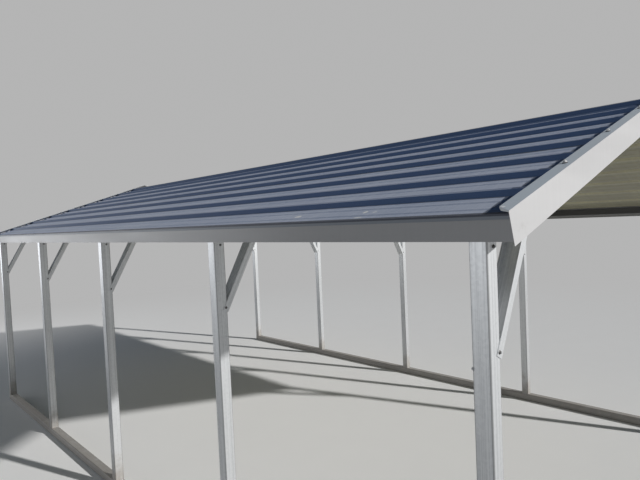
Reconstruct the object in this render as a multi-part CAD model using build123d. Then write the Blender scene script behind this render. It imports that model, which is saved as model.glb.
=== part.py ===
from build123d import *
import math
import os

# Carport with an open steel frame and a ribbed sheet roof, in millimetres.
# X runs along the roof with the open front at +X, Y runs across it, Z is up,
# and the origin is on the ground under the middle of the roof.
# Left is the -Y side, as seen by someone who looks in from the front.

# Bents: a post on each side and a pair of rafters
bent_count = 5
bent_spacing = 1524.0
frame_width = 3710.0
tube_side = 63.5
tube_wall = 2.0
tube_corner_radius = 6.0

# Roof planes: the sheet's upper face at the eave, and the slope
roof_slope_deg = 17.7
eave_height = 1946.0
eave_overhang = 20.0
end_overhang = 105.0

# Roof sheets: tall ribs with two low stiffening ribs between them
sheet_thickness = 1.5
rib_pitch = 228.6
first_rib_place = 207.0
rib_height = 19.0
rib_base_width = 50.0
rib_top_width = 20.0
low_rib_height = 3.0
low_rib_base_width = 26.0
low_rib_top_width = 12.0
lower_sheet_cover_width = 914.4
drip_edge_height = 17.0
lap_clearance = 0.3
ridge_gap = 20.0

# Ridge cap
cap_rib_clearance = 5.0
cap_bend_radius = 12.0

# Eave trim behind the drip edge, closed against the posts
trim_thickness = 1.2
trim_clearance = 0.3
eave_trim_height = 83.0
eave_trim_setback = 3.0

# Rake trim along the sloping ends, with its flange on the ribs
rake_face_height = 107.0
rake_flange_width = 50.0
rake_hem_width = 12.0
rake_lower_overrun = 45.0
rake_hem_start = 70.0

# Knee braces: channels that straddle the post and the rafter, placed down from the eave
brace_foot_drop = 457.0
brace_lean_deg = 29.3
brace_depth = 33.0
brace_wall = 2.0
brace_side_clearance = 0.4
brace_end_clearance = 0.3

# Ground anchor holes in the base rails, beside every post but the middle one
anchor_hole_diameter = 14.0
anchor_offset_from_post = 150.0

# Places worked out from the sizes above
slope = math.radians(roof_slope_deg)
slope_cos = math.cos(slope)
slope_sin = math.sin(slope)
frame_length = (bent_count - 1) * bent_spacing + tube_side
roof_length = frame_length + 2 * end_overhang
sheet_length = roof_length - 2 * (trim_thickness + trim_clearance)
half_width = frame_width / 2
eave_reach = half_width + eave_overhang
slope_length = eave_reach / slope_cos
rail_top = tube_side
bent_places = [((bent_count - 1) / 2 - i) * bent_spacing for i in range(bent_count)]
anchored_places = [x for x in bent_places if x != 0]
ribs_on_lower_sheet = round(lower_sheet_cover_width / rib_pitch)
lap_rib_place = first_rib_place + (ribs_on_lower_sheet - 1) * rib_pitch
last_rib_limit = slope_length - ridge_gap - rib_base_width / 2
ribs_on_upper_sheet = int((last_rib_limit - lap_rib_place) / rib_pitch)
last_rib_place = lap_rib_place + ribs_on_upper_sheet * rib_pitch
cover_level = rib_height + sheet_thickness + lap_clearance
frame_top_level = -sheet_thickness
frame_low_level = frame_top_level - tube_side
brace_foot_height = eave_height - brace_foot_drop


def up_slope(run, rise):
    """Point in the Y-Z plane of the left slope: run up the slope, rise square to it."""
    y = -eave_reach + run * slope_cos - rise * slope_sin
    z = eave_height + run * slope_sin + rise * slope_cos
    return (y, z)


def level_height(y, level):
    """Height at y of the plane that lies level above the left roof sheet."""
    return eave_height + (y + eave_reach) * math.tan(slope) + level / slope_cos


def offset_path(points, distance):
    """The same path moved to its left by a distance, with mitred corners."""
    moved = []
    count = len(points)
    for i in range(count):
        normals = []
        for a, b in ((i - 1, i), (i, i + 1)):
            if a >= 0 and b < count:
                dx = points[b][0] - points[a][0]
                dy = points[b][1] - points[a][1]
                length = math.hypot(dx, dy)
                normals.append((-dy / length, dx / length))
        first, last = normals[0], normals[-1]
        grow = distance / (1 + first[0] * last[0] + first[1] * last[1])
        shift_x = (first[0] + last[0]) * grow
        shift_y = (first[1] + last[1]) * grow
        moved.append((points[i][0] + shift_x, points[i][1] + shift_y))
    return moved


def folded_strip(path, thickness, plane, length):
    """Bent sheet metal: the path is its upper face, seen along the fold lines."""
    outline = path + offset_path(path, -thickness)[::-1]
    face = plane * make_face(Polyline(*outline, close=True))
    return extrude(face, length, dir=plane.z_dir)


def tube(plane, length):
    """Square tube with rounded corners, drawn out along the plane's normal."""
    outer = fillet(Rectangle(tube_side, tube_side).vertices(), tube_corner_radius)
    bore_side = tube_side - 2 * tube_wall
    bore = fillet(Rectangle(bore_side, bore_side).vertices(), tube_corner_radius - tube_wall)
    return extrude(plane * (outer - bore), length, dir=plane.z_dir)


def on_right(part):
    """The same piece on the right side of the roof."""
    return mirror(part, about=Plane.XZ)


def base_rail():
    """Rail along the ground with anchor holes through its top and bottom walls."""
    start = Plane(origin=(-frame_length / 2, -half_width + tube_side / 2, tube_side / 2),
                  x_dir=(0, 1, 0), z_dir=(1, 0, 0))
    rail = tube(start, frame_length)
    for x in anchored_places:
        inward = -math.copysign(anchor_offset_from_post, x)
        hole = Cylinder(anchor_hole_diameter / 2, 2 * tube_side)
        rail -= Pos(x + inward, -half_width + tube_side / 2, tube_side / 2) * hole
    return rail


def mitre_plane(x):
    """Plane through the joint of post and rafter, facing up and towards the ridge."""
    outer_y = -half_width
    outer_z = level_height(outer_y, frame_top_level)
    inner_y = -half_width + tube_side
    inner_z = level_height(inner_y, frame_low_level)
    return Plane(origin=(x, outer_y, outer_z), x_dir=(1, 0, 0),
                 z_dir=(0, outer_z - inner_z, inner_y - outer_y))


def post(x):
    """Upright from the base rail to the mitre."""
    foot = Plane(origin=(x, -half_width + tube_side / 2, rail_top))
    return split(tube(foot, eave_height), bisect_by=mitre_plane(x), keep=Keep.BOTTOM)


def rafter(x):
    """Half of the bow, from the mitre at the post to the peak."""
    y, z = up_slope(-tube_side, (frame_top_level + frame_low_level) / 2)
    start = Plane(origin=(x, y, z), x_dir=(1, 0, 0), z_dir=(0, slope_cos, slope_sin))
    bow = tube(start, slope_length + 2 * tube_side)
    bow = split(bow, bisect_by=mitre_plane(x), keep=Keep.TOP)
    return split(bow, bisect_by=Plane.XZ, keep=Keep.TOP)


def brace(x):
    """Knee brace: its web ends on the post and under the rafter, its sides lap both."""
    lean = math.radians(brace_lean_deg)
    foot_y = -half_width + tube_side + brace_end_clearance
    top_climb = level_height(foot_y, frame_low_level) - brace_end_clearance - brace_foot_height
    length = top_climb / (math.cos(lean) - math.sin(lean) * math.tan(slope))
    inside = tube_side / 2 + brace_side_clearance
    outside = inside + brace_wall
    lip = brace_depth - brace_wall
    outline = [(-outside, -brace_wall), (outside, -brace_wall), (outside, lip), (inside, lip),
               (inside, 0), (-inside, 0), (-inside, lip), (-outside, lip)]
    section = Plane(origin=(x, foot_y, brace_foot_height), x_dir=(-1, 0, 0),
                    z_dir=(0, math.sin(lean), math.cos(lean)))
    face = section * make_face(Polyline(*outline, close=True))
    return extrude(face, length, dir=section.z_dir)


def roof_section():
    """Section plane of the left slope at the sheets' back ends, facing the front."""
    return Plane(origin=(-sheet_length / 2, -eave_reach, eave_height),
                 x_dir=(0, slope_cos, slope_sin), z_dir=(1, 0, 0))


def cross_section():
    """Upright section plane at the sheets' back ends, facing the front."""
    return Plane(origin=(-sheet_length / 2, 0, 0), x_dir=(0, 1, 0), z_dir=(1, 0, 0))


def rib(place, height, base_width, top_width):
    """Four corners of one rib across the slope."""
    return [(place - base_width / 2, 0), (place - top_width / 2, height),
            (place + top_width / 2, height), (place + base_width / 2, 0)]


def low_ribs_after(place):
    """The two stiffening ribs between a tall rib and the next one up the slope."""
    points = []
    for share in (1, 2):
        middle = place + share * rib_pitch / 3
        points += rib(middle, low_rib_height, low_rib_base_width, low_rib_top_width)
    return points


def lower_sheet():
    """Sheet from the drip edge at the eave up to the lap rib."""
    path = [(-drip_edge_height * slope_sin, -drip_edge_height * slope_cos), (0, 0)]
    path += low_ribs_after(first_rib_place - rib_pitch)
    for i in range(ribs_on_lower_sheet - 1):
        place = first_rib_place + i * rib_pitch
        path += rib(place, rib_height, rib_base_width, rib_top_width)
        path += low_ribs_after(place)
    path += rib(lap_rib_place, rib_height, rib_base_width, rib_top_width)[:3]
    return folded_strip(path, sheet_thickness, roof_section(), sheet_length)


def upper_sheet():
    """Sheet from the lap rib, where it covers the lower one, to the ridge."""
    lap_rib = rib(lap_rib_place, rib_height, rib_base_width, rib_top_width)
    path = offset_path(lap_rib, sheet_thickness + lap_clearance)[:3]
    path.append((lap_rib[3][0] + sheet_thickness, 0))
    for i in range(ribs_on_upper_sheet):
        place = lap_rib_place + i * rib_pitch
        path += low_ribs_after(place)
        path += rib(place + rib_pitch, rib_height, rib_base_width, rib_top_width)
    path.append((slope_length - ridge_gap, 0))
    return folded_strip(path, sheet_thickness, roof_section(), sheet_length)


def ridge_cap():
    """Folded cap over the gap at the ridge, flat on both upper sheets between the last ribs."""
    level = lap_clearance + trim_thickness
    edge_place = last_rib_place + rib_base_width / 2 + cap_rib_clearance
    edge_y, edge_z = up_slope(edge_place, level)
    path = [(edge_y, edge_z), (0, level_height(0, level)), (-edge_y, edge_z)]
    cap = folded_strip(path, trim_thickness, cross_section(), sheet_length)
    along = cap.edges().filter_by(Axis.X)
    upper_fold = along.sort_by(Axis.Z)[-1]
    return fillet(upper_fold, cap_bend_radius)


def eave_trim():
    """Strip that hangs behind the drip edge, with a lip top and bottom towards the posts."""
    face_y = -eave_reach + eave_trim_setback
    top = level_height(face_y, -sheet_thickness)
    bottom = level_height(-eave_reach, 0) - eave_trim_height
    inner_y = -half_width - trim_clearance
    top_inner_y = inner_y - trim_thickness * slope_sin
    path = [(inner_y, bottom), (face_y, bottom), (face_y, top),
            (top_inner_y, level_height(top_inner_y, -sheet_thickness))]
    return folded_strip(path, trim_thickness, cross_section(), sheet_length)


def rake_trim():
    """Trim on the front end of the left slope, mitred at the ridge.

    Its flange is cut off at 45 degrees at the eave, and its hem starts past the eave trim.
    """
    level = cover_level + trim_thickness
    start_y, start_z = up_slope(-rake_lower_overrun, level)
    section = Plane(origin=(roof_length / 2, start_y, start_z),
                    x_dir=(-1, 0, 0), z_dir=(0, slope_cos, slope_sin))
    path = [(rake_flange_width, 0), (0, 0), (0, -rake_face_height),
            (rake_hem_width, -rake_face_height)]
    trim = folded_strip(path[::-1], trim_thickness, section, slope_length + 4 * rake_face_height)
    corner = [(0, 0), (rake_flange_width, 0), (rake_flange_width, rake_flange_width)]
    cut_plane = Plane(origin=section.origin, x_dir=(-1, 0, 0),
                      z_dir=(0, slope_sin, -slope_cos))
    wedge = extrude(cut_plane * make_face(Polyline(*corner, close=True)), trim_thickness,
                    dir=cut_plane.z_dir)
    trim -= wedge
    hem = [(trim_thickness, -rake_face_height), (rake_hem_width, -rake_face_height),
           (rake_hem_width, -rake_face_height + trim_thickness),
           (trim_thickness, -rake_face_height + trim_thickness)]
    trim -= extrude(section * make_face(Polyline(*hem, close=True)), rake_hem_start,
                    dir=section.z_dir)
    return split(trim, bisect_by=Plane.XZ, keep=Keep.TOP)


def at_back(part):
    """The same piece at the back end."""
    return mirror(part, about=Plane.YZ)


def save(name, part):
    export_step(part, os.path.join("parts", name + ".step"))


os.makedirs("parts", exist_ok=True)

save("left_base_rail", base_rail())
save("right_base_rail", on_right(base_rail()))

for number, x in enumerate(bent_places, start=1):
    save(f"left_post_{number}", post(x))
    save(f"right_post_{number}", on_right(post(x)))
    save(f"left_rafter_{number}", rafter(x))
    save(f"right_rafter_{number}", on_right(rafter(x)))
    save(f"left_brace_{number}", brace(x))
    save(f"right_brace_{number}", on_right(brace(x)))

save("left_lower_sheet", lower_sheet())
save("right_lower_sheet", on_right(lower_sheet()))
save("left_upper_sheet", upper_sheet())
save("right_upper_sheet", on_right(upper_sheet()))
save("ridge_cap", ridge_cap())
save("left_eave_trim", eave_trim())
save("right_eave_trim", on_right(eave_trim()))
save("front_left_rake_trim", rake_trim())
save("front_right_rake_trim", on_right(rake_trim()))
save("back_left_rake_trim", at_back(rake_trim()))
save("back_right_rake_trim", at_back(on_right(rake_trim())))
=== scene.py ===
import math

import bmesh
import bpy
from mathutils import Matrix, Vector


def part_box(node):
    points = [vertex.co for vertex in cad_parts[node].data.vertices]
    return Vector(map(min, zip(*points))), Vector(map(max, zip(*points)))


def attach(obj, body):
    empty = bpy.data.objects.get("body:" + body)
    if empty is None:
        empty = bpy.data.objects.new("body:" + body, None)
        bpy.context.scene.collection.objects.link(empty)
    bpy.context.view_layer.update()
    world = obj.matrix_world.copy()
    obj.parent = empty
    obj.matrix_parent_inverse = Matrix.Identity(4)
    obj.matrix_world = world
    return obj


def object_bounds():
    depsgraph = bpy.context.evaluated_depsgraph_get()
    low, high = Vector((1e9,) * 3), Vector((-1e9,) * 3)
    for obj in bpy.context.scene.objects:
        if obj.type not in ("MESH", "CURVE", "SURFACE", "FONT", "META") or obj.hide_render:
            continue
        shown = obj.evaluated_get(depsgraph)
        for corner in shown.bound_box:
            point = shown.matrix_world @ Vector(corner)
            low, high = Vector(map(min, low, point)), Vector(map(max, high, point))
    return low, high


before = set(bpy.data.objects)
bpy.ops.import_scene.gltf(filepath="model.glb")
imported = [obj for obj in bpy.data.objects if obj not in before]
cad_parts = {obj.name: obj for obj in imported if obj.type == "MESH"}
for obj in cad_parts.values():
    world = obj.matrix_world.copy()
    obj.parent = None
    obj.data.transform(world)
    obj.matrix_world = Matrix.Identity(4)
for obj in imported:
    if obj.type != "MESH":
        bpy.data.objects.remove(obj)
cad_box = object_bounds()

# Roof geometry, as in the model: run is measured up the slope from the eave, level square to it
SLOPE = math.radians(17.7)
EAVE_HEIGHT = 1.946
EAVE_REACH = 1.875
SLOPE_LENGTH = EAVE_REACH / math.cos(SLOPE)
RIB_PITCH = 0.2286
FIRST_RIB = 0.207
RIB_COUNT = 8
LAST_RIB = FIRST_RIB + (RIB_COUNT - 1) * RIB_PITCH
RIB_BASE = 0.050
RIB_TOP = 0.020
COVER_LEVEL = 0.022
SHEET = 0.0015
TUBE = 0.0635
BRACE_LEAN = math.radians(29.3)
BRACE_LENGTH = 0.5795
BRACE_WALL = 0.002
BRACE_SIDE_GAP = 0.0004
BRACE_END_GAP = 0.0003
BENTS = range(1, 6)
SIDES = {"left": -1, "right": 1}
ENDS = {"front": 1, "back": -1}

post_boxes = {n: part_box(f"left_post_{n}") for n in BENTS}
BENT_X = {n: (low.x + high.x) / 2 for n, (low, high) in post_boxes.items()}
HALF_WIDTH = -post_boxes[1][0].y
RAIL_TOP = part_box("left_base_rail")[1].z
BRACE_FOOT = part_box("left_brace_1")[0].z
EAVE_TRIM_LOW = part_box("left_eave_trim")[0].z
FRONT_END = cad_box[1].x


def on_slope(run, level, side, x):
    """Point over the roof slope of one side: run up the slope, level square to it."""
    y = EAVE_REACH - run * math.cos(SLOPE) + level * math.sin(SLOPE)
    z = EAVE_HEIGHT + run * math.sin(SLOPE) + level * math.cos(SLOPE)
    return Vector((x, side * y, z))


def slope_normal(side):
    return Vector((0, side * math.sin(SLOPE), math.cos(SLOPE)))


def rgb(red, green, blue):
    return (red, green, blue, 1.0)


class Nodes:
    """Short calls for the nodes of one tree."""

    def __init__(self, tree):
        self.tree = tree

    def node(self, kind, **values):
        made = self.tree.nodes.new(kind)
        for key, value in values.items():
            setattr(made, key, value)
        return made

    def feed(self, socket, value):
        """Link an output into a socket, or set the socket to a constant."""
        if isinstance(value, bpy.types.NodeSocket):
            self.tree.links.new(value, socket)
        else:
            socket.default_value = value

    def math(self, operation, a, b=0.0, clamp=False):
        made = self.node("ShaderNodeMath", operation=operation, use_clamp=clamp)
        self.feed(made.inputs[0], a)
        self.feed(made.inputs[1], b)
        return made.outputs[0]

    def blend(self, share, first, second):
        """Shader that goes from the first to the second as the share goes from 0 to 1."""
        made = self.node("ShaderNodeMixShader")
        for socket, value in zip(made.inputs, (share, first, second)):
            self.feed(socket, value)
        return made.outputs[0]


class Material(Nodes):
    """Node material with a Principled shader, and calls for its patterns."""

    def __init__(self, name):
        self.data = bpy.data.materials.new(name)
        self.data.use_nodes = True
        super().__init__(self.data.node_tree)
        self.shader = self.tree.nodes["Principled BSDF"]
        self.place = self.node("ShaderNodeTexCoord").outputs["Object"]

    def ramp(self, value, low, high, out_low=0.0, out_high=1.0):
        """Value from low to high mapped smoothly to out_low and out_high."""
        made = self.node("ShaderNodeMapRange", interpolation_type="SMOOTHSTEP")
        self.feed(made.inputs["Value"], value)
        made.inputs["From Min"].default_value = low
        made.inputs["From Max"].default_value = high
        made.inputs["To Min"].default_value = out_low
        made.inputs["To Max"].default_value = out_high
        return made.outputs["Result"]

    def vector_math(self, operation, vector, *constants):
        made = self.node("ShaderNodeVectorMath", operation=operation)
        self.feed(made.inputs[0], vector)
        for socket, constant in zip(made.inputs[1:], constants):
            socket.default_value = constant
        return made.outputs

    def turned(self, vector, turn):
        made = self.node("ShaderNodeVectorRotate", rotation_type="EULER_XYZ")
        self.feed(made.inputs["Vector"], vector)
        made.inputs["Rotation"].default_value = turn
        return made.outputs[0]

    def mapped(self, scale, turn=(0, 0, 0), shift=(0, 0, 0)):
        """Object coordinates, turned and then scaled, so that a pattern can stretch."""
        return self.vector_math("MULTIPLY_ADD", self.turned(self.place, turn), scale, shift)[0]

    def noise(self, vector, scale=1.0, detail=3.0, rough=0.5, warp=0.0):
        made = self.node("ShaderNodeTexNoise")
        self.feed(made.inputs["Vector"], vector)
        made.inputs["Scale"].default_value = scale
        made.inputs["Detail"].default_value = detail
        made.inputs["Roughness"].default_value = rough
        made.inputs["Distortion"].default_value = warp
        return made.outputs["Fac"]

    def cells(self, vector, scale):
        """A value from 0 to 1 for each cell of a cracked pattern."""
        made = self.node("ShaderNodeTexVoronoi", feature="F1")
        self.feed(made.inputs["Vector"], vector)
        made.inputs["Scale"].default_value = scale
        return self.split(made.outputs["Color"])[0]

    def mix(self, share, first, second):
        """Colour that goes from the first to the second as the share goes from 0 to 1."""
        made = self.node("ShaderNodeMix", data_type="RGBA")
        self.feed(made.inputs["Factor"], share)
        colours = [s for s in made.inputs if s.type == "RGBA"]
        self.feed(colours[0], first)
        self.feed(colours[1], second)
        return [s for s in made.outputs if s.type == "RGBA"][0]

    def brighten(self, colour, factor):
        made = self.node("ShaderNodeVectorMath", operation="SCALE")
        self.feed(made.inputs[0], colour)
        self.feed(made.inputs["Scale"], factor)
        return made.outputs[0]

    def split(self, vector):
        made = self.node("ShaderNodeSeparateXYZ")
        self.feed(made.inputs[0], vector)
        return made.outputs

    def facing(self):
        """X, Y and Z parts of the direction that the flat face looks in."""
        return self.split(self.node("ShaderNodeNewGeometry").outputs["True Normal"])

    def bump(self, height, distance, strength=1.0, below=None):
        made = self.node("ShaderNodeBump")
        self.feed(made.inputs["Height"], height)
        made.inputs["Distance"].default_value = distance
        made.inputs["Strength"].default_value = strength
        if below is not None:
            self.feed(made.inputs["Normal"], below)
        return made.outputs[0]

    def finish(self, colour, roughness, normal, metallic=0.0, specular=0.5):
        self.feed(self.shader.inputs["Base Color"], colour)
        self.feed(self.shader.inputs["Roughness"], roughness)
        self.feed(self.shader.inputs["Normal"], normal)
        self.shader.inputs["Metallic"].default_value = metallic
        self.shader.inputs["Specular IOR Level"].default_value = specular
        return self.data


ZINC_BRIGHT = rgb(0.84, 0.86, 0.88)
ZINC_DULL = rgb(0.66, 0.68, 0.70)
ZINC_STAIN = rgb(0.50, 0.51, 0.52)
ZINC_CORNER_SHADE = rgb(0.30, 0.31, 0.32)
SOIL = rgb(0.24, 0.20, 0.155)
# Painted light on the zinc: darkened up to the first height, and brightened from the second one up
PAINTED_SHADE_HEIGHT = 1.00
PAINTED_LIGHT_HEIGHT = 1.85
SOIL_TOP = 0.20
SOIL_UNEVENNESS = 0.30


def corner_shade_share(m, turn, long_axis):
    """Share of the painted shade that darkens the rounded corners of a tube."""
    normal = m.node("ShaderNodeNewGeometry").outputs["True Normal"]
    parts = m.split(m.turned(normal, turn))
    first, second = [parts[i] for i in range(3) if i != long_axis]
    slant = m.math("ABSOLUTE", m.math("MULTIPLY", first, second))
    return m.ramp(slant, 0.08, 0.30, 0.0, 0.70)


def soil_share(m, height):
    """Share of the soil that rain splashes up, with an uneven upper edge."""
    splash = m.noise(m.place, scale=14.0, detail=5.0, rough=0.6)
    level = m.math("SUBTRACT", height, m.math("MULTIPLY", splash, SOIL_UNEVENNESS))
    return m.ramp(level, -0.12, SOIL_TOP, 0.62, 0.0)


def galvanised(name, turn=(0, 0, 0), long_axis=2):
    """Zinc-coated tube: spangle, streaks along it, dull patches, painted shade on the rounded
    corners and lower down, painted light higher up, and soil near the ground.
    """
    m = Material(name)
    coarse = [110.0] * 3
    coarse[long_axis] = 0.7
    fine = [480.0] * 3
    fine[long_axis] = 2.0
    streaks = m.noise(m.mapped(coarse, turn), detail=4.0, rough=0.55)
    lines = m.noise(m.mapped(fine, turn), detail=2.0)
    spangle = m.cells(m.mapped((1, 1, 1), turn), 95.0)
    tone = m.math("ADD", m.math("MULTIPLY", streaks, 0.55), m.math("MULTIPLY", lines, 0.38))
    tone = m.math("ADD", tone, m.math("MULTIPLY", spangle, 0.07))
    colour = m.mix(m.ramp(tone, 0.36, 0.62), ZINC_DULL, ZINC_BRIGHT)
    patches = m.noise(m.place, scale=2.6, detail=5.0, rough=0.62, warp=0.6)
    colour = m.mix(m.ramp(patches, 0.56, 0.76, 0.0, 0.30), colour, ZINC_STAIN)
    # Painted shade darkens the rounded corners
    colour = m.mix(corner_shade_share(m, turn, long_axis), colour, ZINC_CORNER_SHADE)
    height = m.split(m.place)[2]
    # Painted light and shade: brighter high up, darker lower down
    colour = m.brighten(colour, m.ramp(height, PAINTED_SHADE_HEIGHT, PAINTED_LIGHT_HEIGHT, 0.86, 1.06))
    soil = soil_share(m, height)
    colour = m.mix(soil, colour, SOIL)
    roughness = m.math("ADD", m.ramp(tone, 0.3, 0.7, 0.46, 0.34), m.math("MULTIPLY", soil, 0.50))
    normal = m.bump(lines, 0.0002, 0.30)
    normal = m.bump(streaks, 0.0006, 0.25, below=normal)
    return m.finish(colour, roughness, normal, metallic=0.52)


# Sheet paint: the clean colour is partly painted shade on the steep rib faces, the dusty colour
# partly painted light and sky reflection on the pans
PAINT_CLEAN_SHADED = rgb(0.095, 0.168, 0.340)
PAINT_DUSTY_LIT = rgb(0.485, 0.535, 0.655)
GRIME = rgb(0.13, 0.13, 0.13)
LIGHT_SPOT = rgb(0.92, 0.92, 0.90)
BACKER_PAINT = rgb(0.60, 0.575, 0.41)
BACKER_DUST = rgb(0.50, 0.475, 0.355)
# Painted shade of the drip edge, and a painted shadow line
DRIP_EDGE_SHADE = rgb(0.30, 0.33, 0.38)
SHADOW_LINE = rgb(0.06, 0.07, 0.10)
# Rib crests keep only this share of the dusty colour, which paints shade on them
CREST_DUST_AND_SHEEN = 0.15
# The run is read from Y alone, so on top of a rib it comes out about this much lower
CREST_SHIFT = 0.006
# Dull strips of painted shade, without the dusty colour: from this run up to the ridge, and this
# far from the ends of the roof
SHADE_STRIP_RUN = LAST_RIB - RIB_PITCH + 0.092
SHADE_STRIP_END = 0.102
# Foot of a rib, measured up the slope from the middle of the rib below it
NEXT_RIB_FOOT = RIB_PITCH - RIB_BASE / 2
# Light flecks on the first pan of the left slope: place along X, run, half sizes and strength
LIGHT_SPOTS = (
    (2.160, 0.079, 0.018, 0.016, 0.85),
    (2.541, 0.094, 0.009, 0.013, 1.00),
    (2.592, 0.089, 0.008, 0.011, 0.50),
    (2.554, 0.030, 0.020, 0.008, 0.60),
)


def slope_run(m):
    """Run up the slope from the eave, the same on both sides of the ridge."""
    y = m.split(m.place)[1]
    reach = m.math("SUBTRACT", EAVE_REACH, m.math("ABSOLUTE", y))
    return m.math("DIVIDE", reach, math.cos(SLOPE))


def upward_share(m, low, high):
    """0 to 1 as the upward part of the face's direction goes from low to high."""
    return m.ramp(m.facing()[2], low, high)


def wash_streaks(m, run):
    """Noise stretched down the slope, different on the two sides of the ridge."""
    x, y = m.split(m.place)[0:2]
    stretched = m.node("ShaderNodeCombineXYZ")
    m.feed(stretched.inputs[0], m.math("MULTIPLY", x, 42.0))
    m.feed(stretched.inputs[1], m.math("MULTIPLY", run, 1.6))
    m.feed(stretched.inputs[2], m.math("SIGN", y))
    return m.noise(stretched.outputs[0], detail=4.0, rough=0.6)


def shade_strips(m, run):
    """1 in the strips of painted shade just below the ridge cap and beside the rake trims, 0
    elsewhere.
    """
    from_middle = m.math("ABSOLUTE", m.split(m.place)[0])
    margin = FRONT_END - SHADE_STRIP_END
    beside = m.ramp(from_middle, margin - 0.004, margin + 0.004)
    return m.math("MAXIMUM", beside, m.ramp(run, SHADE_STRIP_RUN - 0.010, SHADE_STRIP_RUN))


def dust_and_sheen_share(m, run, wash, cloud, pans):
    """Share of the dusty colour, partly painted light and sheen: nearly all over the pans, little
    on the rib tops, none on steep faces, which paints shade on them.
    """
    dust_and_sheen = m.math("ADD", m.ramp(wash, 0.30, 0.70, 0.80, 0.95),
                  m.ramp(cloud, 0.3, 0.7, -0.10, 0.08))
    rib_run = m.math("SUBTRACT", run, FIRST_RIB - CREST_SHIFT)
    from_rib = m.math("PINGPONG", rib_run, RIB_PITCH / 2)
    # Painted shade: the rib crests keep little of the dusty colour
    crest_shade_share = m.ramp(from_rib, RIB_TOP / 2 + 0.001, RIB_TOP / 2 + 0.003, CREST_DUST_AND_SHEEN, 1.0)
    return m.math("MULTIPLY", m.math("MULTIPLY", dust_and_sheen, crest_shade_share), pans, clamp=True)


def grime_share(m, since_rib, pans):
    """Share of the dirt that lies in thin lines on the pans, along both feet of each rib."""
    above_rib = m.ramp(since_rib, RIB_BASE / 2, RIB_BASE / 2 + 0.020, 0.40, 0.0)
    below_rib = m.ramp(since_rib, NEXT_RIB_FOOT - 0.014, NEXT_RIB_FOOT, 0.0, 0.35)
    grime = m.math("MULTIPLY", m.math("ADD", above_rib, below_rib), pans)
    return m.math("MULTIPLY", grime, 0.75)


def backer(m, since_rib, wash, cloud):
    """Colour of the underside, with painted light on the groove walls and a light line beside each
    groove.
    """
    colour = m.mix(m.ramp(cloud, 0.35, 0.65), BACKER_DUST, BACKER_PAINT)
    colour = m.brighten(colour, m.ramp(wash, 0.25, 0.75, 0.95, 1.04))
    # Painted light on the groove walls
    groove_wall_light = m.ramp(upward_share(m, -0.90, -0.60), 0.0, 1.0, 0.0, 0.36)
    light_line = m.ramp(since_rib, NEXT_RIB_FOOT - 0.030, NEXT_RIB_FOOT - 0.018, 1.0, 1.22)
    return m.brighten(colour, m.math("ADD", light_line, groove_wall_light))


def with_eave_edge(m, colour, run, pans):
    """The colour with the drip edge over it, in painted shade with a painted shadow line along its
    top, and with a painted shadow line where the first pan ends.
    """
    z = m.split(m.place)[2]
    # Painted shade on the drip edge, with a painted shadow line along its top
    edge = m.mix(m.ramp(z, EAVE_HEIGHT - 0.008, EAVE_HEIGHT - 0.005), DRIP_EDGE_SHADE, SHADOW_LINE)
    colour = m.mix(m.ramp(run, 0.002, 0.003, 1.0, 0.0), colour, edge)
    # Painted shadow line where the first pan ends
    lip = m.math("MULTIPLY", m.ramp(run, 0.013, 0.019, 1.0, 0.0), pans)
    return m.mix(lip, colour, SHADOW_LINE)


def spot(m, centre, half_x, half_run, wobble):
    """1 inside a soft-edged spot that lies on a slope, 0 outside it."""
    away = m.vector_math("SUBTRACT", m.place, centre)[0]
    squeezed = m.vector_math("MULTIPLY", away, (1 / half_x, 1 / half_run, 1 / half_run))[0]
    length = m.vector_math("LENGTH", squeezed)["Value"]
    size = m.math("ADD", length, m.math("MULTIPLY", wobble, 0.6))
    return m.ramp(size, 1.05, 1.55, 1.0, 0.0)


def light_spots(m):
    """Share of the light flecks that lie on the first pan of the left slope."""
    wobble = m.noise(m.place, scale=260.0, detail=2.0)
    found = 0.0
    for x, run, half_x, half_run, strength in LIGHT_SPOTS:
        fleck = spot(m, on_slope(run, 0.0, SIDES["left"], x), half_x, half_run, wobble)
        found = m.math("MAXIMUM", found, m.math("MULTIPLY", fleck, strength))
    return found


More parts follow.
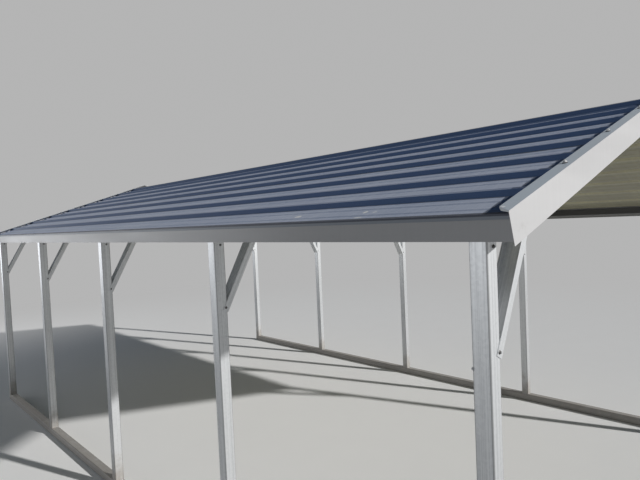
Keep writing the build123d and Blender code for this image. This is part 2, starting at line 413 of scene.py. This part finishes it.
def roof_paint():
    """Slate painted sheet: dusty colour, partly painted sheen, on the pans, painted shade on rib
    faces, crests and some strips, wash streaks down the slope, faint waves.
    """
    m = Material("roof_sheet_paint")
    pans = upward_share(m, 0.45, 0.70)
    run = slope_run(m)
    since_rib = m.math("MODULO", m.math("ADD", run, RIB_PITCH - FIRST_RIB), RIB_PITCH)
    wash = wash_streaks(m, run)
    cloud = m.noise(m.place, scale=1.7, detail=5.0, rough=0.6)
    fleck = m.noise(m.place, scale=160.0, detail=3.0)

    # Painted shade: dull, darkened strips below the ridge cap and beside the rake trims, without
    # the dusty colour
    shade_and_dull = m.math("MULTIPLY", shade_strips(m, run), pans)
    dust_and_sheen = m.math("MULTIPLY", dust_and_sheen_share(m, run, wash, cloud, pans),
                  m.math("SUBTRACT", 1.0, shade_and_dull))
    # Steep rib faces take the clean colour as painted shade, the pans the dusty colour with painted
    # sheen
    colour = m.mix(dust_and_sheen, PAINT_CLEAN_SHADED, PAINT_DUSTY_LIT)
    colour = m.brighten(colour, m.ramp(shade_and_dull, 0.0, 1.0, 1.0, 0.55))
    # Painted light: the faces of the low ribs are brightened to soften their shading
    low_rib_light = m.math("SUBTRACT", pans, upward_share(m, 0.80, 0.93))
    colour = m.brighten(colour, m.ramp(low_rib_light, 0.0, 1.0, 1.0, 1.30))
    colour = m.mix(grime_share(m, since_rib, pans), colour, GRIME)
    colour = m.brighten(colour, m.ramp(fleck, 0.25, 0.75, 0.95, 1.05))
    underside = m.math("SUBTRACT", 1.0, upward_share(m, -0.05, 0.05))
    colour = m.mix(underside, colour, backer(m, since_rib, wash, cloud))
    colour = with_eave_edge(m, colour, run, pans)
    colour = m.mix(m.math("MULTIPLY", light_spots(m), pans), colour, LIGHT_SPOT)

    roughness = m.math("ADD", m.ramp(dust_and_sheen, 0.0, 1.0, 0.42, 0.58),
                       m.ramp(fleck, 0.3, 0.7, -0.03, 0.03))
    roughness = m.math("ADD", roughness, m.math("MULTIPLY", shade_and_dull, 0.50))
    waves = m.noise(m.mapped((1.2, 5.0, 5.0)), detail=2.0)
    normal = m.bump(waves, 0.006, 0.25)
    normal = m.bump(fleck, 0.0002, 0.25, below=normal)
    return m.finish(colour, roughness, normal, specular=0.35)


# Painted light: the rake trims take a lighter, lit copy of the trim paint, the eave trims and ridge
# cap a darker, shaded copy
RAKE_PAINT_LIT = rgb(0.635, 0.635, 0.645)
RAKE_TONE_LIT = rgb(0.59, 0.59, 0.60)
# Painted shade: the flanges of the rake trims are darker and bluer than their faces
FLANGE_PAINT_SHADED = rgb(0.56, 0.635, 0.72)
FLANGE_TONE_SHADED = rgb(0.52, 0.59, 0.67)
LONG_TRIM_PAINT_SHADED = rgb(0.44, 0.44, 0.45)
LONG_TRIM_TONE_SHADED = rgb(0.40, 0.40, 0.41)
TRIM_DIRT = rgb(0.22, 0.21, 0.19)
# Near-black painted shade inside the eave trims
TRIM_INSIDE_SHADE = rgb(0.030, 0.028, 0.024)
# Painted highlight, on a rake flange corner and on the rake tabs
PAINTED_HIGHLIGHT = rgb(0.90, 0.93, 0.97)
EAVE_TRIM_HEM = 0.028
# Painted highlight at the lower corner of the front left rake flange: place along X, run, half
# sizes
CORNER_HIGHLIGHT = (3.144, -0.003, 0.012, 0.009)
ALONG_X = 0
ALONG_Y = 1


def eave_trim_shade_share(m):
    """1 on the inside of the eave trims, painted near-black as shade, down to the hem at their
    lower edge, which keeps the trim paint.
    """
    y, z = m.split(m.place)[1:3]
    inward = m.math("MULTIPLY", m.facing()[1], m.math("SIGN", y))
    facing_in = m.ramp(inward, -0.7, -0.5, 1.0, 0.0)
    hem_top = EAVE_TRIM_LOW + EAVE_TRIM_HEM
    over_hem = m.ramp(z, hem_top - 0.006, hem_top)
    under_ridge = m.ramp(z, EAVE_HEIGHT + 0.05, EAVE_HEIGHT + 0.10, 1.0, 0.0)
    return m.math("MULTIPLY", m.math("MULTIPLY", facing_in, over_hem), under_ridge)


def corner_highlight_share(m, wobble):
    """1 on the painted highlight at the corner of the front left rake flange, 0 elsewhere."""
    x, run, half_x, half_run = CORNER_HIGHLIGHT
    return spot(m, on_slope(run, COVER_LEVEL, SIDES["left"], x), half_x, half_run, wobble)


def trim_paint(name, along, paint, shade, dulled=0.0):
    """Painted folded trim: soft waves along it, a few runs of dirt and faint orange peel.

    Eave trims and the ridge cap lie along X, and rake trims, which also have a flange, lie
    along Y. A dulled trim is rougher and reflects less, as where it lies open to the sun.
    """
    m = Material(name)
    stretch = [7.0] * 3
    stretch[along] = 1.1
    cloud = m.noise(m.mapped(stretch), detail=4.0, rough=0.6)
    runs = m.noise(m.mapped((55.0, 55.0, 2.0)), detail=3.0)
    peel = m.noise(m.place, scale=700.0, detail=2.0)
    tone = m.ramp(cloud, 0.3, 0.7)
    colour = m.mix(tone, shade, paint)
    if along == ALONG_Y:
        # Painted shade on the upward flange
        flange = m.mix(tone, FLANGE_TONE_SHADED, FLANGE_PAINT_SHADED)
        colour = m.mix(upward_share(m, 0.80, 0.93), colour, flange)
    colour = m.brighten(colour, m.ramp(runs, 0.25, 0.75, 0.985, 1.01))
    dirt = m.ramp(m.noise(m.place, scale=9.0, detail=6.0, rough=0.65), 0.64, 0.84, 0.0, 0.22)
    colour = m.mix(dirt, colour, TRIM_DIRT)
    if along == ALONG_X:
        # Painted shade inside the eave trims
        colour = m.mix(eave_trim_shade_share(m), colour, TRIM_INSIDE_SHADE)
    else:
        # Painted highlight at a flange corner
        colour = m.mix(corner_highlight_share(m, cloud), colour, PAINTED_HIGHLIGHT)
    roughness = m.ramp(cloud, 0.25, 0.75, 0.31 + dulled, 0.41 + dulled)
    waves = m.noise(m.mapped(stretch, shift=(3.1, 0.0, 0.0)), scale=0.7, detail=1.0)
    normal = m.bump(waves, 0.003, 0.15)
    normal = m.bump(peel, 0.0001, 0.30, below=normal)
    return m.finish(colour, roughness, normal, specular=0.60 - dulled)


SCREW_DARK = rgb(0.13, 0.13, 0.135)
SCREW_LIGHT = rgb(0.24, 0.24, 0.24)
SCREW_RUST = rgb(0.12, 0.06, 0.03)
# Painted glint: the head of the corner screw is light
SCREW_GLINT_TONE = rgb(0.62, 0.63, 0.65)
SCREW_GLINT = rgb(0.86, 0.87, 0.88)
RAKE_SCREW_PAINT = rgb(0.74, 0.74, 0.74)
# Painted light: the rake tabs are much lighter than the trim paint
TAB_LIGHT_TONE = rgb(0.78, 0.82, 0.87)
RUBBER_DARK = rgb(0.020, 0.020, 0.022)
RUBBER_LIGHT = rgb(0.055, 0.055, 0.058)
WELD_DARK = rgb(0.22, 0.22, 0.225)
WELD_LIGHT = rgb(0.50, 0.51, 0.52)
WELD_RUST = rgb(0.25, 0.12, 0.055)


def screw_zinc():
    """Dark, weathered zinc with specks of rust."""
    m = Material("screw_zinc")
    tone = m.noise(m.place, scale=240.0, detail=4.0, rough=0.6)
    colour = m.mix(m.ramp(tone, 0.35, 0.65), SCREW_DARK, SCREW_LIGHT)
    rust = m.ramp(m.noise(m.place, scale=90.0, detail=5.0), 0.58, 0.70, 0.0, 0.7)
    colour = m.mix(rust, colour, SCREW_RUST)
    roughness = m.ramp(tone, 0.3, 0.7, 0.62, 0.48)
    return m.finish(colour, roughness, m.bump(tone, 0.0002, 0.4), metallic=0.3)


def fine_paint(name, shade, paint):
    """Paint of a small piece, clouded between two shades."""
    m = Material(name)
    tone = m.noise(m.place, scale=240.0, detail=4.0, rough=0.6)
    colour = m.mix(m.ramp(tone, 0.35, 0.65), shade, paint)
    return m.finish(colour, m.ramp(tone, 0.3, 0.7, 0.50, 0.38), m.bump(tone, 0.0002, 0.4))


def washer_rubber():
    m = Material("washer_rubber")
    tone = m.noise(m.place, scale=300.0, detail=3.0)
    colour = m.mix(tone, RUBBER_DARK, RUBBER_LIGHT)
    return m.finish(colour, m.ramp(tone, 0.3, 0.7, 0.62, 0.80), m.bump(tone, 0.0002, 0.5))


def weld_metal():
    """Grey weld metal with patches of rust."""
    m = Material("weld_metal")
    tone = m.noise(m.place, scale=130.0, detail=5.0, rough=0.6)
    colour = m.mix(m.ramp(tone, 0.35, 0.65), WELD_DARK, WELD_LIGHT)
    rust = m.ramp(m.noise(m.place, scale=60.0, detail=5.0, rough=0.65), 0.55, 0.68, 0.0, 0.8)
    colour = m.mix(rust, colour, WELD_RUST)
    roughness = m.ramp(tone, 0.3, 0.7, 0.65, 0.45)
    return m.finish(colour, roughness, m.bump(tone, 0.0005, 0.5), metallic=0.5)


def dress_frame():
    """Finish of the tubes, braces, sheets and trims of the model, found by a part of their name."""
    # The long trims take the shaded copy of the trim paint, the rake trims the lit one, as painted
    # light
    long_trim_shaded = (ALONG_X, LONG_TRIM_PAINT_SHADED, LONG_TRIM_TONE_SHADED)
    finishes = {
        "post": galvanised("zinc_upright"),
        "base_rail": galvanised("zinc_rail", long_axis=0),
        "left_rafter": galvanised("zinc_rafter_left", turn=(-SLOPE, 0, 0), long_axis=1),
        "right_rafter": galvanised("zinc_rafter_right", turn=(SLOPE, 0, 0), long_axis=1),
        "left_brace": galvanised("zinc_brace_left", turn=(BRACE_LEAN, 0, 0)),
        "right_brace": galvanised("zinc_brace_right", turn=(-BRACE_LEAN, 0, 0)),
        "sheet": roof_paint(),
        "eave_trim": trim_paint("trim_paint_long_shaded", *long_trim_shaded),
        "ridge_cap": trim_paint("trim_paint_cap_shaded", *long_trim_shaded, dulled=0.26),
        "rake_trim": trim_paint("trim_paint_end_lit", ALONG_Y, RAKE_PAINT_LIT, RAKE_TONE_LIT, dulled=0.14),
    }
    for name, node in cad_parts.items():
        kind = next(part for part in finishes if part in name)
        for slot in node.material_slots:
            slot.material = finishes[kind]


def mesh_data(name, mesh, materials=()):
    """Mesh data from a bmesh, which is freed, with its materials."""
    data = bpy.data.meshes.new(name)
    mesh.to_mesh(data)
    mesh.free()
    for material in materials:
        data.materials.append(material)
    return data


def add_object(name, data):
    made = bpy.data.objects.new(name, data)
    bpy.context.scene.collection.objects.link(made)
    return made


def add_piece(name, mesh, materials):
    """Piece from a bmesh, on the one body, with its materials."""
    piece = add_object(name, mesh_data(name, mesh, materials))
    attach(piece, "root")


def ring_of_faces(mesh, lower, upper, material, smooth=True):
    count = len(lower)
    for i in range(count):
        j = (i + 1) % count
        face = mesh.faces.new((lower[i], lower[j], upper[j], upper[i]))
        face.material_index = material
        face.smooth = smooth


def circle_at(mesh, radius, height, segments):
    points = []
    for i in range(segments):
        angle = 2 * math.pi * i / segments
        place = (radius * math.cos(angle), radius * math.sin(angle), height)
        points.append(mesh.verts.new(place))
    return points


def lathe(mesh, profile, segments, material):
    """Turned solid from (radius, height) points, closed at both ends."""
    rings = [circle_at(mesh, radius, height, segments) for radius, height in profile]
    for lower, upper in zip(rings, rings[1:]):
        ring_of_faces(mesh, lower, upper, material)
    for ring, order in ((rings[0], -1), (rings[-1], 1)):
        face = mesh.faces.new(ring[::order])
        face.material_index = material


# Head width and height, flange radius, and the radius and height of a sealing washer
FRAME_SCREW = (0.0080, 0.0052, 0.0068)
CORNER_SCREW = (0.0070, 0.0034, 0.0060)
ROOF_SCREW = (0.0095, 0.0055, 0.0075, 0.0078, 0.0030)
RAKE_SCREW = (0.0110, 0.0068, 0.0085, 0.0092, 0.0032)
FLANGE_RIM = 0.0011
ROUND_SIDES = 16
HEX_SIDES = 6
# Places of a piece's materials: metal, and the rubber of a sealed screw
METAL = 0
RUBBER = 1
# Degrees from one screw's turn to the next, and after which a hex head looks the same
TURN_STEP = 37
HEX_STEP = 60


def screw_head(head_width, head_height, flange_radius, washer_radius=0.0, washer_height=0.0):
    """Hex head with its flange, and a bulged sealing washer under it where it has one."""
    mesh = bmesh.new()
    if washer_radius:
        washer = ((washer_radius * 0.92, 0.0), (washer_radius, washer_height * 0.35),
                  (washer_radius * 0.97, washer_height * 0.8),
                  (washer_radius * 0.80, washer_height))
        lathe(mesh, washer, ROUND_SIDES, RUBBER)
    base = washer_height * 0.85
    rim = base + FLANGE_RIM
    flange = ((flange_radius, base), (flange_radius, base + FLANGE_RIM * 0.6),
              (flange_radius * 0.93, rim), (head_width * 0.56, base + FLANGE_RIM * 1.5))
    lathe(mesh, flange, ROUND_SIDES, METAL)
    corner = head_width / 2 / math.cos(math.pi / HEX_SIDES)
    head = ((corner, rim), (corner, base + head_height * 0.86),
            (corner * 0.90, base + head_height), (corner * 0.55, base + head_height * 1.02))
    rings = [circle_at(mesh, radius, height, HEX_SIDES) for radius, height in head]
    for lower, upper in zip(rings, rings[1:]):
        ring_of_faces(mesh, lower, upper, METAL, smooth=False)
    mesh.faces.new(rings[-1])
    return mesh


def add_copies(name, source, seats, materials, first_turn=0.0):
    """One piece with a copy of the source mesh at each seat: place and outward direction.

    Each copy is turned about that direction by another angle, in a way that repeats.
    """
    joined = bmesh.new()
    one = mesh_data(name + "_one", source)
    for index, (place, outward) in enumerate(seats):
        facing = outward.to_track_quat("Z", "Y").to_matrix().to_4x4()
        turn = first_turn + math.radians(index * TURN_STEP % HEX_STEP)
        matrix = Matrix.Translation(place) @ facing @ Matrix.Rotation(turn, 4, "Z")
        start = len(joined.verts)
        joined.from_mesh(one)
        joined.verts.ensure_lookup_table()
        for vertex in joined.verts[start:]:
            vertex.co = matrix @ vertex.co
    bpy.data.meshes.remove(one)
    add_piece(name, joined, materials)


# Clear space between a screw and the face that it sits on
SEAT = 0.0002
# The screw at the top of a post, in from its outer face, and its height
TOP_SCREW_INSET = 0.039
TOP_SCREW_HEIGHT = 1.846
# Screws of a brace: how far along it, and how deep from its web
BRACE_SCREWS = ((0.016, 0.021), (BRACE_LENGTH - 0.008, 0.022))
# The corner screw sits this far inside the sharp corner that the round one replaces
CORNER_SCREW_SUNK = 0.0012
CORNER_SCREW_HEIGHT = 1.461
CORNER_SCREW_OUTWARD = Vector((-0.6, -0.8, 0.0))
CORNER_SCREW_TURN = 0.3
# Runs of the roof screws from the middle of the rib below them, on the pans and on the cap
PAN_SCREW_RUN = 0.044
CAP_SCREW_RUN = 0.062
# Level of the screws on the cap, just clear of its top
CAP_SEAT = 0.0016
# How far the screws on the pans stray from the middle of their rafter, and how quickly
SCREW_SWAY = 0.004
SWAY_PACE = 7
# Screws of a rake flange, and how far they sit in from the end of the roof
RAKE_SCREW_RUNS = (0.480, 0.980, 1.480, SLOPE_LENGTH - 0.045)
RAKE_SCREW_INSET = 0.029


def brace_point(along, deep, side, x):
    """Point on a brace: along it from its foot, and deep from its web towards the corner."""
    foot_y = -HALF_WIDTH + TUBE + BRACE_END_GAP
    y = foot_y + along * math.sin(BRACE_LEAN) - deep * math.cos(BRACE_LEAN)
    z = BRACE_FOOT + along * math.cos(BRACE_LEAN) + deep * math.sin(BRACE_LEAN)
    return Vector((x, -side * y, z))


def frame_screws(materials):
    """Screws of the post tops and of both ends of every brace, on both faces of each bent."""
    seats = []
    for n in BENTS:
        for side in SIDES.values():
            for face in (-1, 1):
                outward = Vector((face, 0, 0))
                tube_face = BENT_X[n] + face * (TUBE / 2 + SEAT)
                brace_face = tube_face + face * (BRACE_SIDE_GAP + BRACE_WALL)
                top = Vector((tube_face, side * (HALF_WIDTH - TOP_SCREW_INSET), TOP_SCREW_HEIGHT))
                seats.append((top, outward))
                for along, deep in BRACE_SCREWS:
                    seats.append((brace_point(along, deep, side, brace_face), outward))
    add_copies("frame_screws", screw_head(*FRAME_SCREW), seats, materials)


def corner_screw(materials):
    """One screw on the rounded corner of the first left post, light-coloured as a painted glint."""
    seat = Vector((BENT_X[1] - TUBE / 2 + CORNER_SCREW_SUNK, -HALF_WIDTH + CORNER_SCREW_SUNK,
                   CORNER_SCREW_HEIGHT))
    add_copies("corner_screw", screw_head(*CORNER_SCREW), [(seat, CORNER_SCREW_OUTWARD)],
               materials, first_turn=CORNER_SCREW_TURN)


def roof_screws(materials):
    """Rows of sealed screws into each pair of rafters, through the sheets and the cap."""
    for side_name, side in SIDES.items():
        outward = slope_normal(side)
        seats = []
        for n in BENTS:
            for i in range(RIB_COUNT - 1):
                run = FIRST_RIB + i * RIB_PITCH + PAN_SCREW_RUN
                x = BENT_X[n] + SCREW_SWAY * math.sin(SWAY_PACE * run + n)
                seats.append((on_slope(run, SEAT, side, x), outward))
            cap_run = LAST_RIB + CAP_SCREW_RUN
            seats.append((on_slope(cap_run, CAP_SEAT, side, BENT_X[n]), outward))
        add_copies(f"{side_name}_roof_screws", screw_head(*ROOF_SCREW), seats, materials)


def rake_screws(materials):
    """Sealed screws that hold the rake flanges down, half a metre apart, and at the ridge."""
    for end_name, end in ENDS.items():
        x = end * (FRONT_END - RAKE_SCREW_INSET)
        for side_name, side in SIDES.items():
            seats = [(on_slope(run, COVER_LEVEL + SEAT, side, x), slope_normal(side))
                     for run in RAKE_SCREW_RUNS]
            add_copies(f"{end_name}_{side_name}_rake_screws", screw_head(*RAKE_SCREW), seats,
                       materials)


FLANGE_WIDTH = 0.050
FLANGE_OVERRUN = 0.045
# How far the tab hangs down, at shares of the way along the cut end of the flange
TAB_DROPS = ((0.0, 0.005), (0.05, 0.009), (0.12, 0.012), (0.20, 0.0115), (0.97, 0.0038))
# Section of the tab: outward from the cut end of the flange, and level from the flange's top
TAB_FACE = 0.0014
TAB_BACK = 0.0002
TAB_ROOT = -0.0012
TAB_BEND = ((0.0, 0.0), (0.0007, -0.0002), (0.0012, -0.0008), (TAB_FACE, -0.0016))


def tab_ring(mesh, side, end, share, drop):
    """Section of a tab at a share of the way along the cut end of its flange.

    The cut lies at 45 degrees, so a step out of it goes as far down the slope as it goes along X.
    """
    inset = FLANGE_WIDTH * (1 - share)
    ring = []
    for out, level in (*TAB_BEND, (TAB_FACE, -drop), (TAB_BACK, -drop), (TAB_BACK, TAB_ROOT)):
        step = out / math.sqrt(2)
        run = inset - FLANGE_OVERRUN - step
        x = end * (FRONT_END - inset - step)
        ring.append(mesh.verts.new(on_slope(run, COVER_LEVEL + level, side, x)))
    return ring


def rake_tabs(materials):
    """Tabs that are bent down from the slanted lower ends of the rake flanges."""
    mesh = bmesh.new()
    for end in ENDS.values():
        for side in SIDES.values():
            rings = [tab_ring(mesh, side, end, share, drop) for share, drop in TAB_DROPS]
            for lower, upper in zip(rings, rings[1:]):
                ring_of_faces(mesh, lower, upper, METAL, smooth=False)
            mesh.faces.new(rings[0])
            mesh.faces.new(rings[-1])
    bmesh.ops.recalc_face_normals(mesh, faces=mesh.faces)
    add_piece("rake_tabs", mesh, materials)


FOOT_WELD = 0.0024
OUTER_FOOT_WELD = 0.0018
RAFTER_WELD = 0.0022
WELD_RIPPLE = 0.0032
WELD_SIDES = 8
# Radius of a bead between its ripples and on them, as a share of its own radius
WELD_SWELL = (0.86, 1.02)
# A weld stops at least this far before the corners of its tube
WELD_TRIM = 0.005


def bead(mesh, start, end, radius):
    """Straight weld bead: a ribbed rounded strip, half sunk in the joint."""
    span = end - start
    steps = max(2, round(span.length / (WELD_RIPPLE / 2)))
    across = span.normalized().orthogonal().normalized()
    other = span.normalized().cross(across)
    rings = []
    for i in range(steps + 1):
        middle = start + span * (i / steps)
        swell = radius * WELD_SWELL[i % 2]
        ring = []
        for k in range(WELD_SIDES):
            angle = 2 * math.pi * k / WELD_SIDES
            offset = across * math.cos(angle) + other * math.sin(angle)
            ring.append(mesh.verts.new(middle + offset * swell))
        rings.append(ring)
    for lower, upper in zip(rings, rings[1:]):
        ring_of_faces(mesh, lower, upper, METAL)
    mesh.faces.new(rings[0][::-1])
    mesh.faces.new(rings[-1])


def rafter_top(reach):
    """Height of a rafter's top face at a distance from the middle of the roof."""
    return EAVE_HEIGHT + (EAVE_REACH - reach) * math.tan(SLOPE) - SHEET / math.cos(SLOPE)


def mitre_weld(mesh, x, side):
    """Weld between a post and its rafter."""
    reach = HALF_WIDTH - TUBE
    low = Vector((x, side * reach, rafter_top(reach) - TUBE / math.cos(SLOPE)))
    high = Vector((x, side * HALF_WIDTH, rafter_top(HALF_WIDTH)))
    span = (high - low).normalized()
    bead(mesh, low + span * WELD_TRIM, high - span * 2 * WELD_TRIM, RAFTER_WELD)


def peak_weld(mesh, x):
    """Upright weld between the two rafters of a bent."""
    high = rafter_top(0.0)
    low = high - TUBE / math.cos(SLOPE)
    bead(mesh, Vector((x, 0, high - WELD_TRIM)), Vector((x, 0, low + WELD_TRIM)), RAFTER_WELD)


def weld_beads(materials):
    """Welds at the feet of the posts, at the eave mitres and at the peak of each bent."""
    mesh = bmesh.new()
    for middle in BENT_X.values():
        back, front = middle - TUBE / 2, middle + TUBE / 2
        for side in SIDES.values():
            outer = side * HALF_WIDTH
            inner = side * (HALF_WIDTH - TUBE)
            for x in (back, front):
                bead(mesh, Vector((x, outer - side * WELD_TRIM, RAIL_TOP)),
                     Vector((x, inner + side * WELD_TRIM, RAIL_TOP)), FOOT_WELD)
                mitre_weld(mesh, x, side)
                # Both sides share the peak, so it is welded with the right one alone
                if side > 0:
                    peak_weld(mesh, x)
            for y, radius in ((inner, FOOT_WELD), (outer, OUTER_FOOT_WELD)):
                bead(mesh, Vector((back + WELD_TRIM, y, RAIL_TOP)),
                     Vector((front - WELD_TRIM, y, RAIL_TOP)), radius)
    add_piece("weld_beads", mesh, materials)


BACKDROP = rgb(0.46, 0.46, 0.46)
FLOOR_LIGHT = rgb(0.95, 0.95, 0.95)
FLOOR_SHADE = rgb(0.93, 0.93, 0.93)
# The floor's colour for the light that it throws back on the object
FLOOR_THROWN_BACK = rgb(0.38, 0.38, 0.375)
FLOOR_HALF = 60.0
FLOOR_LEVEL = -0.002
# Distances from the middle between which the floor fades to the backdrop
FLOOR_FADE = (4.5, 12.0)


def floor_material():
    """Pale floor that keeps the shadow near the object and fades to the backdrop far away."""
    m = Material("floor_pale")
    path = m.node("ShaderNodeLightPath").outputs
    seen = m.math("MAXIMUM", path["Is Camera Ray"], path["Is Glossy Ray"])
    pale = m.mix(m.noise(m.place, scale=3.0, detail=4.0), FLOOR_SHADE, FLOOR_LIGHT)
    m.feed(m.shader.inputs["Base Color"], m.mix(seen, FLOOR_THROWN_BACK, pale))
    m.shader.inputs["Roughness"].default_value = 0.9
    m.shader.inputs["Specular IOR Level"].default_value = 0.1
    glow = m.node("ShaderNodeEmission")
    glow.inputs["Color"].default_value = BACKDROP
    distance = m.vector_math("LENGTH", m.place)["Value"]
    share = m.math("MULTIPLY", m.ramp(distance, *FLOOR_FADE), seen)
    surface = m.tree.nodes["Material Output"].inputs["Surface"]
    m.feed(surface, m.blend(share, m.shader.outputs[0], glow.outputs[0]))
    return m.data


def add_floor():
    mesh = bmesh.new()
    corners = [mesh.verts.new((x * FLOOR_HALF, y * FLOOR_HALF, FLOOR_LEVEL))
               for x, y in ((-1, -1), (1, -1), (1, 1), (-1, 1))]
    mesh.faces.new(corners)
    floor = add_object("floor", mesh_data("floor", mesh, [floor_material()]))


# Light: one sun as the key, a cool even fill, and two low panels on the left
KEY_DIRECTION = Vector((0.86, 0.30, 0.42))
KEY_STRENGTH = 3.4
KEY_SOFTNESS = math.radians(1.5)
KEY_COLOUR = (1.0, 0.985, 0.96)
FILL_COLOUR = rgb(0.62, 0.80, 1.0)
FILL_STRENGTH = 0.065
PANEL_COLOUR = (0.95, 0.97, 1.0)
# Place, size and power of each panel
PANELS = {
    "panel_rear": (Vector((-8.5, -5.6, 2.0)), (7.0, 2.4), 106.0),
    "panel_side": (Vector((0.0, -8.2, 1.7)), (4.2, 1.6), 30.0),
}


def add_world():
    """Even fill light, with the plain backdrop for what the camera and reflections see."""
    studio = bpy.data.worlds.new("studio")
    bpy.context.scene.world = studio
    studio.use_nodes = True
    w = Nodes(studio.node_tree)
    fill = w.tree.nodes["Background"]
    fill.inputs["Color"].default_value = FILL_COLOUR
    fill.inputs["Strength"].default_value = FILL_STRENGTH
    backdrop = w.node("ShaderNodeBackground")
    backdrop.inputs["Color"].default_value = BACKDROP
    path = w.node("ShaderNodeLightPath").outputs
    seen = w.math("MAXIMUM", path["Is Camera Ray"], path["Is Glossy Ray"])
    seen = w.math("MAXIMUM", seen, path["Is Transmission Ray"])
    surface = w.tree.nodes["World Output"].inputs["Surface"]
    w.feed(surface, w.blend(seen, fill.outputs[0], backdrop.outputs[0]))


def add_lamp(name, kind, colour, power, outward):
    """Lamp that stands in the outward direction and shines back along it."""
    light = bpy.data.lights.new(name, kind)
    light.color = colour
    light.energy = power
    lamp = add_object(name, light)
    lamp.rotation_mode = "QUATERNION"
    lamp.rotation_quaternion = outward.to_track_quat("Z", "Y")
    return lamp


def add_lamps():
    """Sun, and the panels, which are upright and face the middle of the object."""
    key = add_lamp("key", "SUN", KEY_COLOUR, KEY_STRENGTH, KEY_DIRECTION)
    key.data.angle = KEY_SOFTNESS
    for name, (place, size, power) in PANELS.items():
        outward = Vector((place.x, place.y, 0.0))
        panel = add_lamp(name, "AREA", PANEL_COLOUR, power, outward)
        panel.location = place
        panel.data.shape = "RECTANGLE"
        panel.data.size, panel.data.size_y = size


# Camera of the photograph, found from the posts and the roof edges
CAMERA_PLACE = Vector((3.8365, -3.2887, 1.950))
CAMERA_RIGHT = Vector((0.69492, 0.71766, -0.04534))
CAMERA_DOWN = Vector((-0.00406, -0.05914, -0.99824))
CAMERA_LENS = 28.56
CAMERA_SENSOR = 36.0
CAMERA_RANGE = (0.05, 200.0)


def add_camera():
    data = bpy.data.cameras.new("photo_camera")
    data.sensor_width = CAMERA_SENSOR
    data.lens = CAMERA_LENS
    data.clip_start, data.clip_end = CAMERA_RANGE
    eye = add_object("photo_camera", data)
    right = CAMERA_RIGHT.normalized()
    up = -(CAMERA_DOWN - right * CAMERA_DOWN.dot(right)).normalized()
    back = right.cross(up)
    turn = Matrix((right, up, back)).transposed()
    eye.matrix_world = Matrix.Translation(CAMERA_PLACE) @ turn.to_4x4()
    bpy.context.scene.camera = eye


dress_frame()
rubber = washer_rubber()
frame_screws([screw_zinc()])
corner_screw([fine_paint("screw_painted_glint", SCREW_GLINT_TONE, SCREW_GLINT)])
roof_screws([fine_paint("roof_screw_paint", PAINT_CLEAN_SHADED, PAINT_DUSTY_LIT), rubber])
rake_screws([fine_paint("rake_screw_paint", RAKE_PAINT_LIT, RAKE_SCREW_PAINT), rubber])
rake_tabs([fine_paint("tab_painted_light", TAB_LIGHT_TONE, PAINTED_HIGHLIGHT)])
weld_beads([weld_metal()])
add_floor()
add_world()
add_lamps()
add_camera()
bpy.context.scene.view_settings.view_transform = "Standard"
